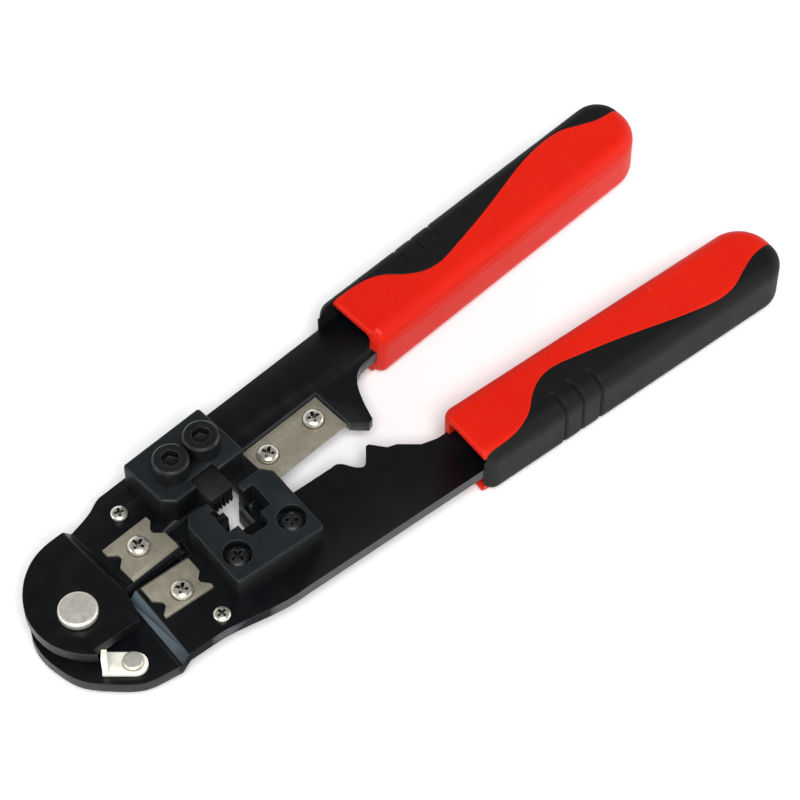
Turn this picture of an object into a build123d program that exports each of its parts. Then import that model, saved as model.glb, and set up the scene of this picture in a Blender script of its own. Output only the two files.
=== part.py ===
"""Hand crimping tool for 8-way modular plugs, with wire stripper and cutter.

Frame: Z is the pivot axis, up. X runs from the pivot along the fixed arm to the grips. Y points to the
moving arm. The tool lies flat with its grips on Z = 0. Everything on the moving arm is drawn with the
two arms parallel and is then turned by OPEN_ANGLE into the rest position. Millimetres.
"""
from build123d import *
import os

os.makedirs("parts", exist_ok=True)

# ---- heights
MID_Z = 8.0                 # middle of both arm plates and of the grips
SHEET = 3.2                 # thickness of the arm plates
DISC_GAP = 3.4              # space between the two pivot discs, for the spring
PLATE_BOTTOM = MID_Z - SHEET / 2
PLATE_TOP = MID_Z + SHEET / 2
UPPER_DISC_BOTTOM = MID_Z + DISC_GAP / 2
UPPER_DISC_TOP = UPPER_DISC_BOTTOM + SHEET
LOWER_DISC_TOP = MID_Z - DISC_GAP / 2
LOWER_DISC_BOTTOM = LOWER_DISC_TOP - SHEET

OPEN_ANGLE = 5.5            # degrees from arms parallel to the rest position
BEND_RADIUS = 0.9           # radius of the offset bends in the arms

# ---- pivot
SHANK_R = 3.0
PIVOT_HOLE_R = 3.06         # running fit in the moving disc
RIVET_HEAD_R = 4.55
RIVET_HEAD_H = 1.9
RIVET_FOOT_R = 4.2
FACE_GAP = 0.12             # sliding gap between turning faces
HOLE_FIT = 0.03             # how much larger than its screw a screw hole is, in radius
SPACER_R = 4.6
SPRING_R = 6.1              # mean coil radius
SPRING_WIRE = 1.0
SPRING_TURNS = 2

# ---- tools on the head
BLADE_T = 1.0
DIE_TOP = 17.0
PUNCH_TOP = 17.6
CAP_HEAD_R = 4.25
CAP_HEAD_H = 5.0
CAP_SOCKET_AF = 4.0
POCKET_FLOOR = PLATE_BOTTOM + 0.8

# ---- modular plug opening, in the fixed arm's plan
PLUG_X = 42.5
PLUG_WIDTH = 12.0
PLUG_TOP_Y = 1.0
PLUG_BOTTOM_Y = -5.6
LATCH_WIDTH = 6.0
LATCH_BOTTOM_Y = -9.5
PUNCH_SLOT_X = (37.9, 45.6)
SLOT_ENTRY_R = 1.0
WINDOW_X = (36.5, 45.5)      # smaller window that goes on through the arm and the lower die
WINDOW_Y = (-3.2, 1.0)
WINDOW_SLOT_X = (41.5, 45.5)
LOWER_DIE_X = (31.4, 53.6)
LOWER_DIE_Y = (-16.6, 3.1)
LOWER_DIE_BOTTOM = 1.2
LOWER_SHELF = ((28.4, 41.5), (2.0, 9.0), (LOWER_DIE_BOTTOM, PLATE_BOTTOM - 0.4))
TAB_X = 48.2                 # from here on the moving arm's edge reaches in under the upper die
TAB_Y = 0.8
TAB_ROOM = ((47.3, 56.0), (0.1, 8.0), (PLATE_BOTTOM - 0.4, PLATE_TOP + 0.4))

# ---- latch
LATCH_PIVOT = (3.8, -14.7)
LATCH_SHANK_R = 1.6
LATCH_HOLE_R = 1.66         # running fit on its rivet
LATCH_HEAD_R = 2.3
LATCH_TURN = -38.0          # direction of its long side in the plan
LATCH_T = 1.1
LATCH_TOP = 14.2
LATCH_EAR = (1.2, 2.4)
LATCH_EAR_AT = (-5.9, -1.9)
STEP_X = -2.7               # the moving disc's rim is cut straight from here on, at rest, clear of the ear
STEP_Y = -9.6
STEP_CORNER = (8.5, -10.5)  # where the step meets the rim, with the arms parallel
STEP_CORNER_R = 1.6

# ---- screws
DIE_SCREW_R = 1.6
DIE_SCREW_HEAD = (2.9, 1.8)          # radius and height
DIE_SCREW_SINK = 2.4                 # depth of the round pocket each one sits in
DIE_POCKET_R = 3.35
CAP_SCREW_R = 2.5
BLADE_SCREW_R = 1.5
STRIP_SCREW_HEAD = (2.55, 1.7)
CUTTER_SCREW_HEAD = (2.5, 1.7)
SMALL_SHANK_R = 1.25
SMALL_SCREW_HEAD = (2.0, 1.3)
STOP_PLATE_T = 1.2
DIE_SCREWS = ((35.05, -11.3), (49.95, -11.3))
STRIP_SCREW_LOWER = (21.8, -8.3)
SMALL_SCREW_LOWER = (25.4, -18.2)
CAP_SCREWS = ((37.4, 11.3), (46.4, 11.3))
CUTTER_SCREWS = ((59.6, 4.2), (73.6, 4.2))
STRIP_SCREW_UPPER = (21.4, 4.8)
SMALL_SCREW_UPPER = (24.2, 14.7)

# ---- crimp punch
PUNCH_X = (38.6, 45.2)
PUNCH_TIP_Y = -0.6
PUNCH_ROOT_Y = 6.6
PUNCH_BODY_Z = (10.8, 16.8)
PUNCH_CORNER_R = 0.9
TOOTH_PITCH = 1.02
TOOTH_SLIT = 0.44
TOOTH_TOP = 14.6

# ---- stripper edges and the plates that stop the wire
STRIP_EDGE_MOVING = -0.9
STRIP_EDGE_FIXED = -1.65
ARM_EDGE_FIXED = -1.3
STOP_STEP_Y = (-6.0, -1.6)  # where the lower stop plate steps down under the moving arm
STOP_LIP_Y = 2.2
STOP_LIP_Z = (3.7, 4.9)

# ---- grips, measured from the line midway between the two arms
GRIP_AXIS_Y = -1.2
GRIP_FRONT_X = 93.6
GRIP_END_X = 185.5
GRIP_INNER = (6.8, 7.6)     # inner side at the front and at the end
GRIP_OUTER = 24.9
GRIP_HEIGHT = 16.0
GRIP_EDGE_R = 2.4
TANG_FROM_AXIS = (10.6, 20.4)
TANG_END_X = 158.0
GRIP_WALL = 2.4
INNER_END_R = 9.0           # rounding of the end's two corners, in the plan
OUTER_END_R = 5.0


# ---- general helpers
def save(shape, name):
    export_step(shape, f"parts/{name}.step")


def group(solids):
    return Compound(children=list(solids))


def prism(outline, bottom, top):
    """A flat plate from a closed list of points or curves."""
    if isinstance(outline[0], tuple):
        face = make_face(Polyline(*outline, close=True))
    else:
        face = make_face([edge for curve in outline for edge in curve.edges()])
    return extrude(face.moved(Location((0, 0, bottom))), amount=top - bottom, dir=(0, 0, 1))


def rod(x, y, radius, bottom, top):
    return Pos(x, y, (bottom + top) / 2) * Cylinder(radius, top - bottom)


def block(x, y, z):
    """A box from three (low, high) pairs."""
    size = [b - a for a, b in (x, y, z)]
    centre = [(a + b) / 2 for a, b in (x, y, z)]
    return Pos(*centre) * Box(*size)


def opened(shape):
    """Turn a piece of the moving arm from arms parallel to the rest position."""
    return Rot(0, 0, OPEN_ANGLE) * shape


def edges_at(shape, z):
    return [e for e in shape.edges() if abs(e.bounding_box().min.Z - z) < 0.01
            and abs(e.bounding_box().max.Z - z) < 0.01]


# ---- screws
def screw_holes(places, shank_r):
    return group(rod(x, y, shank_r + HOLE_FIT, 0, 20) for x, y in places)


def cross_recess(x, y, top, span, depth, turn):
    bars = Box(span, span * 0.26, depth) + Box(span * 0.26, span, depth)
    return Pos(x, y, top - depth / 2) * (Rot(0, 0, turn) * bars)


def pan_screw(place, under_head, head_size, shank_r, turn, end_z=PLATE_BOTTOM):
    """Pan-head screw with a cross recess, standing on the face at under_head."""
    x, y = place
    head_r, head_h = head_size
    head = rod(x, y, head_r, under_head, under_head + head_h)
    head = fillet(edges_at(head, under_head + head_h), head_h * 0.55)
    screw = head + rod(x, y, shank_r, end_z, under_head)
    return screw - cross_recess(x, y, under_head + head_h, head_r * 1.15, head_h * 0.6, turn)


def cap_screw(x, y, under_head, end_z):
    """Cylinder-head screw with a hexagon socket."""
    top = under_head + CAP_HEAD_H
    head = rod(x, y, CAP_HEAD_R, under_head, top)
    head = chamfer(edges_at(head, top), 0.5)
    socket = extrude(RegularPolygon(CAP_SOCKET_AF / 2, 6, major_radius=False), amount=2.6)
    return head + rod(x, y, CAP_SCREW_R, end_z, under_head) - Pos(x, y, top - 2.6) * socket


# ---- arm plates
def offset_sheet(disc_z, bend_from, bend_to):
    """The side view of a sheet that steps from the disc level to the plate level, drawn through in Y."""
    far = 40.0
    top = [(-far, disc_z + SHEET), (bend_from, disc_z + SHEET), (bend_to, PLATE_TOP), (200, PLATE_TOP)]
    bottom = [(x, z - SHEET) for x, z in reversed(top)]
    face = make_face(Polyline(*(top + bottom), close=True))
    bends = [v for v in face.vertices() if bend_from - 1 < v.X < bend_to + 1]
    face = fillet(bends, BEND_RADIUS)
    side = Plane(origin=(0, far, 0), x_dir=(1, 0, 0), z_dir=(0, -1, 0))
    return extrude(side * face, amount=2 * far)


def plug_profile():
    """Plan of the opening in the upper die: plug body, channel for its latch, and slot for the punch."""
    half = PLUG_WIDTH / 2
    latch = LATCH_WIDTH / 2
    left, right = PUNCH_SLOT_X
    past_top = 6.0
    return [
        (PLUG_X - half, PLUG_BOTTOM_Y), (PLUG_X - latch, PLUG_BOTTOM_Y),
        (PLUG_X - latch, LATCH_BOTTOM_Y + 0.9), (PLUG_X - latch + 0.9, LATCH_BOTTOM_Y),
        (PLUG_X + latch - 0.9, LATCH_BOTTOM_Y), (PLUG_X + latch, LATCH_BOTTOM_Y + 0.9),
        (PLUG_X + latch, PLUG_BOTTOM_Y), (PLUG_X + half, PLUG_BOTTOM_Y),
        (PLUG_X + half, PLUG_TOP_Y), (right, PLUG_TOP_Y), (right, past_top), (left, past_top),
        (left, PLUG_TOP_Y), (PLUG_X - half, PLUG_TOP_Y),
    ]


def window_profile(margin=0.0):
    """Plan of the smaller window that goes on through the arm and the lower die."""
    (x0, x1), (y0, y1), (left, right) = WINDOW_X, WINDOW_Y, WINDOW_SLOT_X
    return [(x0 - margin, y0 - margin), (x1 + margin, y0 - margin), (right + margin, y1),
            (right + margin, 6.0), (left - margin, 6.0), (left - margin, y1 + margin),
            (x0 - margin, y1 + margin)]


def fixed_arm():
    disc = Spline((12.6, -21.6), (8.9, -21.1), (3.3, -20.1), (-1.6, -16.9), (-4.9, -14.0), (-7.9, -10.4),
                  (-9.6, -5.8), (-10.4, -2.0), (-10.4, 1.8), (-9.3, 5.7), (-6.6, 9.2), (-2.6, 11.6),
                  (2.2, 12.0), (6.6, 10.3), (9.8, 7.0), (11.0, 3.0), (11.2, -0.6))
    inner = Polyline((11.2, -0.6), (12.4, ARM_EDGE_FIXED), (29.3, ARM_EDGE_FIXED), (29.3, 3.1), (47.6, 3.1),
                     (47.6, TAB_Y - 0.4), (54.4, TAB_Y - 0.4), (54.4, -2.4), (67.7, -2.4))
    bite = Spline((67.7, -2.4), (70.0, -2.9), (71.4, -4.8), (73.6, -6.6), (74.9, -5.7))
    shoulder = Polyline((74.9, -5.7), (77.4, -2.5), (78.2, -2.6), (81.0, -5.8), (83.3, -6.5), (87.6, -9.9),
                        (91.4, -10.9), (97.0, -10.9), (99.0, GRIP_AXIS_Y - TANG_FROM_AXIS[0]),
                        (TANG_END_X, GRIP_AXIS_Y - TANG_FROM_AXIS[0]),
                        (TANG_END_X, GRIP_AXIS_Y - TANG_FROM_AXIS[1]),
                        (99.0, GRIP_AXIS_Y - TANG_FROM_AXIS[1]), (97.0, -24.1), (44.0, -24.0))
    outer = Spline((44.0, -24.0), (36.0, -23.6), (29.6, -22.5), (24.0, -21.7), (18.0, -21.6), (12.6, -21.6))
    arm = prism([disc, inner, bite, shoulder, outer], 0, 20)
    arm = arm & offset_sheet(LOWER_DISC_BOTTOM, 12.0, 14.2)
    arm -= rod(0, 0, SHANK_R, 0, 20)
    arm -= rod(*LATCH_PIVOT, LATCH_SHANK_R, 0, 20)
    arm -= prism(window_profile(0.1), 0, 20)
    arm -= screw_holes(DIE_SCREWS, DIE_SCREW_R)
    arm -= screw_holes([STRIP_SCREW_LOWER], BLADE_SCREW_R)
    return arm - screw_holes([SMALL_SCREW_LOWER], SMALL_SHANK_R)


def moving_arm():
    disc = Spline((12.8, 18.1), (8.7, 18.2), (4.3, 18.0), (0.6, 16.9), (-2.7, 15.0), (-5.9, 12.0),
                  (-8.2, 8.6), (-9.5, 5.0), (-9.9, 1.4), (-9.5, -2.0), (-8.3, -5.2), (-6.2, -8.4),
                  (-3.6, -10.9), (-0.4, -12.5), (3.0, -13.4), (5.6, -13.3), (7.6, -12.0), (9.2, -9.3),
                  (10.4, -5.8), (10.9, -3.0), (11.2, -1.4))
    inner = Polyline((11.2, -1.4), (12.4, STRIP_EDGE_MOVING), (28.6, STRIP_EDGE_MOVING), (28.6, 4.5),
                     (TAB_X, 4.5), (TAB_X, TAB_Y), (78.5, TAB_Y), (78.5, -2.8), (81.6, -5.9),
                     (83.0, -5.5), (84.3, -1.7))
    throat = Spline((84.3, -1.7), (86.4, 2.8), (88.8, 5.7), (91.8, 7.0))
    back = Polyline((91.8, 7.0), (97.0, 7.2), (99.0, GRIP_AXIS_Y + TANG_FROM_AXIS[0]),
                    (TANG_END_X, GRIP_AXIS_Y + TANG_FROM_AXIS[0]),
                    (TANG_END_X, GRIP_AXIS_Y + TANG_FROM_AXIS[1]),
                    (99.0, GRIP_AXIS_Y + TANG_FROM_AXIS[1]), (97.0, 21.2), (25.0, 21.2))
    neck = Spline((25.0, 21.2), (22.6, 20.9), (20.4, 19.9), (17.0, 18.9), (12.8, 18.1))
    arm = prism([disc, inner, throat, back, neck], 0, 20)
    arm = arm & offset_sheet(UPPER_DISC_BOTTOM, 10.9, 13.1)
    arm -= block((55.0, 78.5), (-5.0, 8.8), (POCKET_FLOOR, 20))
    arm -= rod(0, 0, PIVOT_HOLE_R, 0, 20)
    arm -= rim_step()
    corner = [e for e in arm.edges() if e.bounding_box().size.Z > SHEET * 0.9
              and abs(e.center().X - STEP_CORNER[0]) < 0.8 and abs(e.center().Y - STEP_CORNER[1]) < 0.8]
    arm = fillet(corner, STEP_CORNER_R)
    arm -= screw_holes(CAP_SCREWS, CAP_SCREW_R)
    arm -= screw_holes([*CUTTER_SCREWS, STRIP_SCREW_UPPER], BLADE_SCREW_R)
    return arm - screw_holes([SMALL_SCREW_UPPER], SMALL_SHANK_R)


# ---- latch
def rim_step():
    """Straight step in the rim of the moving disc, drawn for the rest position and turned back."""
    cut = block((STEP_X, 11.0), (-16.0, STEP_Y), (UPPER_DISC_BOTTOM - 1, UPPER_DISC_TOP + 1))
    return Rot(0, 0, -OPEN_ANGLE) * cut


def latch_clip():
    """Flat clip with a rounded tail round its rivet and an upright ear at the other end."""
    bottom = LOWER_DISC_TOP + FACE_GAP
    tail = [Line((-6.6, 2.5), (0.6, 2.5)),
            ThreePointArc((0.6, 2.5), (3.3, -0.3), (0.6, -3.1)),
            Line((0.6, -3.1), (-6.6, -3.1)),
            Line((-6.6, -3.1), (-6.6, 2.5))]
    clip = prism(tail, bottom, bottom + LATCH_T)
    ear = Pos(*LATCH_EAR_AT, (bottom + LATCH_TOP) / 2) * Box(*LATCH_EAR, LATCH_TOP - bottom)
    clip = clip + ear - rod(0, 0, LATCH_HOLE_R, 0, 20)
    return Pos(*LATCH_PIVOT, 0) * (Rot(0, 0, LATCH_TURN) * clip)


def latch_rivet():
    under_head = LOWER_DISC_TOP + 2 * FACE_GAP + LATCH_T
    head = rod(*LATCH_PIVOT, LATCH_HEAD_R, under_head, under_head + 0.9)
    head = fillet(edges_at(head, under_head + 0.9), 0.5)
    foot = rod(*LATCH_PIVOT, LATCH_HEAD_R, LOWER_DISC_BOTTOM - 0.7, LOWER_DISC_BOTTOM)
    return head + rod(*LATCH_PIVOT, LATCH_SHANK_R, LOWER_DISC_BOTTOM, under_head) + foot


# ---- pivot pieces
def pivot_rivet():
    under_head = UPPER_DISC_TOP + FACE_GAP
    head = rod(0, 0, RIVET_HEAD_R, under_head, under_head + RIVET_HEAD_H)
    head = fillet(edges_at(head, under_head + RIVET_HEAD_H), 0.8)
    foot = rod(0, 0, RIVET_FOOT_R, 0, LOWER_DISC_BOTTOM)
    foot = chamfer(edges_at(foot, 0), 0.6)
    return head + rod(0, 0, SHANK_R, LOWER_DISC_BOTTOM, under_head) + foot


def pivot_spacer():
    ring = rod(0, 0, SPACER_R, LOWER_DISC_TOP, UPPER_DISC_BOTTOM - FACE_GAP)
    return ring - rod(0, 0, SHANK_R, 0, 20)


def torsion_spring():
    """Coil round the spacer with two straight legs lying towards the arms."""
    low = LOWER_DISC_TOP + SPRING_WIRE / 2 + 0.1
    pitch = SPRING_WIRE + 0.05
    coil = Helix(pitch, pitch * SPRING_TURNS, SPRING_R).moved(Location((0, 0, low)))
    start, end = coil @ 0, coil @ 1
    body = sweep(Plane(origin=start, z_dir=coil % 0) * Circle(SPRING_WIRE / 2), path=coil)
    leg_length = 5.5
    legs = []
    for point, direction in ((start, (coil % 0) * -1), (end, coil % 1)):
        flat = Vector(direction.X, direction.Y, 0).normalized()
        leg = extrude(Plane(origin=point, z_dir=flat) * Circle(SPRING_WIRE / 2), amount=leg_length)
        legs.append(leg + Pos(*point) * Sphere(SPRING_WIRE / 2))
    return body + legs[0] + legs[1]


# ---- stripper, cutter, die and punch
def strip_blade(outline, edge_y, screw):
    blade = prism(outline, PLATE_TOP, PLATE_TOP + BLADE_T)
    edge = [e for e in edges_at(blade, PLATE_TOP + BLADE_T)
            if abs(e.bounding_box().min.Y - edge_y) < 0.01 and abs(e.bounding_box().max.Y - edge_y) < 0.01]
    blade = chamfer(edge, 0.7)
    return blade - screw_holes([screw], BLADE_SCREW_R)


def stop_plate(x, y, screw):
    plate = block(x, y, (PLATE_BOTTOM - STOP_PLATE_T, PLATE_BOTTOM))
    plate = fillet(plate.edges().filter_by(Axis.Z), 1.5)
    return plate - screw_holes([screw], SMALL_SHANK_R)


def stop_plate_fixed():
    """Stop plate of the fixed arm, stepped down so that its lip spans the gap under the moving arm."""
    x = (16.4, 28.0)
    plate = stop_plate(x, (-20.4, STOP_STEP_Y[1]), SMALL_SCREW_LOWER)
    step = block(x, STOP_STEP_Y, (STOP_LIP_Z[0], PLATE_BOTTOM))
    lip = block(x, (STOP_STEP_Y[0], STOP_LIP_Y), STOP_LIP_Z)
    nose = block((12.8, 17.0), (-1.0, STOP_LIP_Y), STOP_LIP_Z)
    return plate + step + lip + nose


def cutter_blade():
    outline = [(55.2, 8.6), (55.2, -2.0), (78.2, -2.0), (78.2, 8.6)]
    blade = prism(outline, POCKET_FLOOR, POCKET_FLOOR + BLADE_T)
    wedge = make_face(Polyline((-2.1, POCKET_FLOOR - 0.1), (-0.6, POCKET_FLOOR - 0.1),
                               (-2.1, POCKET_FLOOR + 0.75), close=True))
    side = Plane(origin=(50, 0, 0), x_dir=(0, 1, 0), z_dir=(1, 0, 0))
    blade -= extrude(side * wedge, amount=40)
    return blade - screw_holes(CUTTER_SCREWS, BLADE_SCREW_R)


def die_block():
    outline = [(32.6, 3.6), (30.6, 1.2), (30.6, -17.6), (54.4, -17.6), (54.4, 1.2), (52.4, 3.6)]
    die = prism(outline, PLATE_TOP, DIE_TOP)
    die = fillet(die.edges().filter_by(Axis.Z), 1.0)
    die = fillet(edges_at(die, DIE_TOP), 0.6)
    die -= prism(plug_profile(), 0, 20)
    entry = [e for e in die.edges().filter_by(Axis.Z) if e.center().Y > 3.4
             and min(abs(e.center().X - x) for x in PUNCH_SLOT_X) < 0.1]
    die = fillet(entry, SLOT_ENTRY_R) - block(*TAB_ROOM)
    for x, y in DIE_SCREWS:
        die -= rod(x, y, DIE_POCKET_R, DIE_TOP - DIE_SCREW_SINK, 20)
    return die - screw_holes(DIE_SCREWS, DIE_SCREW_R)


def lower_die():
    """Lower half of the die, under the arm, with a shelf that reaches under the moving arm."""
    die = block(LOWER_DIE_X, LOWER_DIE_Y, (LOWER_DIE_BOTTOM, PLATE_BOTTOM))
    die = fillet(die.edges().filter_by(Axis.Z), 1.0)
    die = chamfer(edges_at(die, LOWER_DIE_BOTTOM), 0.4)
    die += block(*LOWER_SHELF)
    return die - prism(window_profile(), 0, 20) - block(*TAB_ROOM) - screw_holes(DIE_SCREWS, DIE_SCREW_R)


def punch_block():
    outline = [(30.3, 19.9), (30.3, 6.8), (32.8, 4.3), (53.0, 4.3), (53.0, 19.9)]
    body = prism(outline, PLATE_TOP, PUNCH_TOP)
    body = fillet(body.edges().filter_by(Axis.Z), 0.8)
    body = fillet(edges_at(body, PUNCH_TOP), 0.7)
    body -= block(PUNCH_X, (0, PUNCH_ROOT_Y), (PUNCH_BODY_Z[0], 20))
    return body - screw_holes(CAP_SCREWS, CAP_SCREW_R)


def crimp_punch():
    """Steel punch let into the block's top, the lower part of its end cut into contact teeth."""
    punch = block(PUNCH_X, (PUNCH_TIP_Y, PUNCH_ROOT_Y), PUNCH_BODY_Z)
    tip = [e for e in punch.edges().filter_by(Axis.Z) if e.center().Y < PUNCH_TIP_Y + 1]
    punch = fillet(tip, PUNCH_CORNER_R)
    middle = sum(PUNCH_X) / 2
    for i in range(5):
        x = middle + (i - 2) * TOOTH_PITCH
        slit = (x - TOOTH_SLIT / 2, x + TOOTH_SLIT / 2)
        punch -= block(slit, (PUNCH_TIP_Y - 1, PUNCH_TIP_Y + 1), (PUNCH_BODY_Z[0] - 1, TOOTH_TOP))
    return punch


# ---- grips
def upright_edges(shape, from_x, to_x):
    return [e for e in shape.edges().filter_by(Axis.Z) if from_x < e.center().X < to_x]


def grip_body():
    """Whole grip of the moving arm, solid, before it is divided and hollowed."""
    base = GRIP_AXIS_Y
    inner_front, inner_end = base + GRIP_INNER[0], base + GRIP_INNER[1]
    outer = base + GRIP_OUTER
    outline = [(GRIP_FRONT_X, inner_front), (GRIP_END_X, inner_end), (GRIP_END_X, outer),
               (GRIP_FRONT_X, outer)]
    body = prism(outline, 0, GRIP_HEIGHT)
    body = fillet(upright_edges(body, GRIP_FRONT_X - 1, GRIP_FRONT_X + 1), 3.2)
    inner_corner = [e for e in upright_edges(body, GRIP_END_X - 1, GRIP_END_X + 1) if e.center().Y < 12]
    body = fillet(inner_corner, INNER_END_R)
    outer_corner = [e for e in upright_edges(body, GRIP_END_X - 1, GRIP_END_X + 1) if e.center().Y > 20]
    body = fillet(outer_corner, OUTER_END_R)
    rims = [e for z in (0, GRIP_HEIGHT) for e in edges_at(body, z)
            if e.bounding_box().max.X > GRIP_FRONT_X + 0.1]
    return fillet(rims, GRIP_EDGE_R)


def grip_cavity():
    """Open mouth round the arm, then a close slot for the tang."""
    base = GRIP_AXIS_Y
    mouth = block((GRIP_FRONT_X - 1, 108.0), (base + 8.0, base + 23.1),
                  (GRIP_WALL, GRIP_HEIGHT - GRIP_WALL))
    mouth = fillet(mouth.edges().filter_by(Axis.X), 1.6)
    low, high = (base + v for v in TANG_FROM_AXIS)
    return mouth + block((100.0, TANG_END_X), (low, high), (PLATE_BOTTOM, PLATE_TOP))


def soft_side():
    """Region of the black overmould: everything outside the wavy dividing line."""
    base = GRIP_AXIS_Y
    line = Spline((88.0, base + 22.3), (94.0, base + 22.9), (100.0, base + 22.9), (105.0, base + 22.4),
                  (109.5, base + 20.2), (113.5, base + 16.6), (117.3, base + 14.5), (122.0, base + 13.8),
                  (129.5, base + 15.2), (138.0, base + 16.9), (147.0, base + 19.2), (156.0, base + 21.6),
                  (165.0, base + 22.9), (171.0, base + 22.3), (175.5, base + 20.2), (181.0, base + 18.0),
                  (190.0, base + 17.6))
    rest = Polyline((190.0, base + 17.6), (190.0, base + 40), (88.0, base + 40), (88.0, base + 22.3))
    return prism([line, rest], -5, GRIP_HEIGHT + 5)


def mirrored(shape):
    """The same piece on the other side of the line midway between the arms."""
    return shape.mirror(Plane(origin=(0, GRIP_AXIS_Y, 0), z_dir=(0, 1, 0)))


def fixed_pieces():
    fixed = {}
    fixed["arm_fixed"] = fixed_arm()
    fixed["die_block"] = die_block()
    fixed["lower_die"] = lower_die()
    fixed["die_screws"] = group(pan_screw(place, DIE_TOP - DIE_SCREW_SINK, DIE_SCREW_HEAD,
                                          DIE_SCREW_R, turn, LOWER_DIE_BOTTOM + 0.4)
                                for place, turn in zip(DIE_SCREWS, (20, 55)))
    fixed["strip_blade_fixed"] = strip_blade(
        [(15.1, STRIP_EDGE_FIXED), (27.9, STRIP_EDGE_FIXED), (27.9, -6.4), (26.4, -8.0), (26.4, -8.9),
         (28.0, -10.6), (28.0, -11.5), (15.1, -11.5), (15.1, -10.7), (16.9, -9.1), (16.9, -7.8),
         (15.1, -6.1)],
        STRIP_EDGE_FIXED, STRIP_SCREW_LOWER)
    fixed["strip_screw_fixed"] = pan_screw(STRIP_SCREW_LOWER, PLATE_TOP + BLADE_T, STRIP_SCREW_HEAD,
                                           BLADE_SCREW_R, 40)
    fixed["stop_plate_fixed"] = stop_plate_fixed()
    fixed["stop_screw_fixed"] = pan_screw(SMALL_SCREW_LOWER, PLATE_TOP, SMALL_SCREW_HEAD, SMALL_SHANK_R, 10,
                                          PLATE_BOTTOM - STOP_PLATE_T)
    fixed["pivot_rivet"] = pivot_rivet()
    fixed["pivot_spacer"] = pivot_spacer()
    fixed["torsion_spring"] = torsion_spring()
    fixed["latch_rivet"] = latch_rivet()
    return fixed


def moving_pieces():
    moving = {}
    moving["arm_moving"] = moving_arm()
    moving["punch_block"] = punch_block()
    moving["punch_cap_screws"] = group(cap_screw(x, y, PUNCH_TOP, PLATE_BOTTOM) for x, y in CAP_SCREWS)
    moving["crimp_punch"] = crimp_punch()
    moving["strip_blade_moving"] = strip_blade(
        [(14.9, STRIP_EDGE_MOVING), (28.1, STRIP_EDGE_MOVING), (28.1, 3.6), (26.2, 5.4), (26.2, 6.4),
         (27.8, 8.2), (27.8, 9.7), (14.9, 9.7), (14.9, 8.0), (16.8, 6.4), (16.8, 5.2), (14.9, 3.5)],
        STRIP_EDGE_MOVING, STRIP_SCREW_UPPER)
    moving["strip_screw_moving"] = pan_screw(STRIP_SCREW_UPPER, PLATE_TOP + BLADE_T, STRIP_SCREW_HEAD,
                                             BLADE_SCREW_R, 15)
    moving["stop_plate_moving"] = stop_plate((16.0, 27.6), (STRIP_EDGE_MOVING, 17.0),
                                             SMALL_SCREW_UPPER)
    moving["stop_screw_moving"] = pan_screw(SMALL_SCREW_UPPER, PLATE_TOP, SMALL_SCREW_HEAD,
                                            SMALL_SHANK_R, 65, PLATE_BOTTOM - STOP_PLATE_T)
    moving["cutter_blade"] = cutter_blade()
    moving["cutter_screws"] = group(pan_screw(place, POCKET_FLOOR + BLADE_T, CUTTER_SCREW_HEAD,
                                              BLADE_SCREW_R, turn)
                                    for place, turn in zip(CUTTER_SCREWS, (30, 70)))
    return moving


def main():
    fixed = fixed_pieces()
    moving = moving_pieces()
    whole = grip_body() - grip_cavity()
    shell = whole - soft_side()
    sleeve = whole & soft_side()
    moving["grip_shell_moving"] = shell
    moving["grip_sleeve_moving"] = sleeve
    fixed["grip_shell_fixed"] = mirrored(shell)
    fixed["grip_sleeve_fixed"] = mirrored(sleeve)
    for name, shape in fixed.items():
        save(shape, name)
    for name, shape in moving.items():
        save(opened(shape), name)
    save(latch_clip(), "latch_clip")


main()
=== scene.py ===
"""Looks of the modular plug crimping tool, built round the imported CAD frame. Lengths in metres."""
from math import acos, cos, exp, pi, radians, sin, sqrt

import bmesh
import bpy
from mathutils import Matrix, Vector


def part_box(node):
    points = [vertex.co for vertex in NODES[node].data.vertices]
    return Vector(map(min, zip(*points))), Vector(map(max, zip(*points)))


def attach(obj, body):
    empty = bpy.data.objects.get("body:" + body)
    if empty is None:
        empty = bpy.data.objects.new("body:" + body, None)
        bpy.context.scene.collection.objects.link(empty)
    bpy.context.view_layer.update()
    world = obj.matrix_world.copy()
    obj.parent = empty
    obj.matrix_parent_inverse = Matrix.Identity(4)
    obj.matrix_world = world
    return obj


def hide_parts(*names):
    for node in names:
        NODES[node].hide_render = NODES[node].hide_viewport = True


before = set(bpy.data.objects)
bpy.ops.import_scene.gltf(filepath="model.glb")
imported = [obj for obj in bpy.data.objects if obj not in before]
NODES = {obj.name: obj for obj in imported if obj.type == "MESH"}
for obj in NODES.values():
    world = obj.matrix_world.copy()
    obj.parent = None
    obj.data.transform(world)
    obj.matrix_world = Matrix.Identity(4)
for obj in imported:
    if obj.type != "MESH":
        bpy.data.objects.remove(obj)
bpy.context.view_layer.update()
MM = 0.001

OPEN_ANGLE = radians(5.5)       # the moving arm at rest
MIRROR_Y = -1.2                 # line midway between the closed arms, mm
DISC_X = 11.5                   # the pivot discs end before this x, mm
WELD = 0.002                    # corners of a CAD mesh closer than this are one, mm
RING_WELD = 0.004               # the same for the grips' rings, mm


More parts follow.
